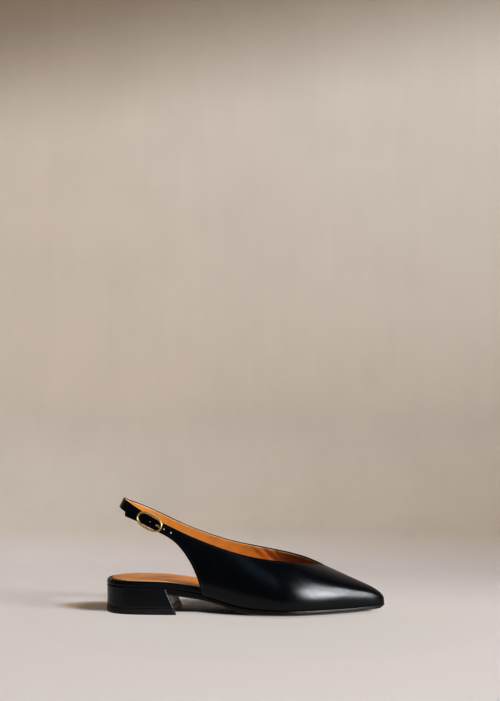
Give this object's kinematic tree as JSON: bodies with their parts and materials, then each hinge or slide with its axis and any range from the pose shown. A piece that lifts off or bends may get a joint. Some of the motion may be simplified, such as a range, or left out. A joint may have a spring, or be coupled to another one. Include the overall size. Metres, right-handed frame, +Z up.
{
  "type": "slingback flat shoe",
  "caption": "Right slingback flat with a pointed toe, V throat, low block heel and an adjustable heel strap fastened by an oval buckle on the outer side.",
  "frame": {"origin": "on the floor, under the middle of the shoe's bounding box", "axes": "+X to the toe, -Y to the outer (lateral) side with the buckle, +Y to the inner (medial) side, +Z up"},
  "size_m": [0.2584, 0.0765, 0.1051],
  "materials": {
    "black_leather": "smooth, glossy",
    "heel_leather": "smooth, satin",
    "tan_leather": "smooth, matt",
    "sole_black": "satin",
    "lift_rubber": "satin",
    "gold_metal": "polished gold colour"
  },
  "bodies": {
    "root": {"upper": "black_leather", "insole_sock": "tan_leather", "footbed": "black_leather", "outsole": "sole_black", "heel_block": "heel_leather", "heel_lift": "lift_rubber", "buckle_frame": "gold_metal", "buckle_prong": "gold_metal"}
  },
  "joints": []
}
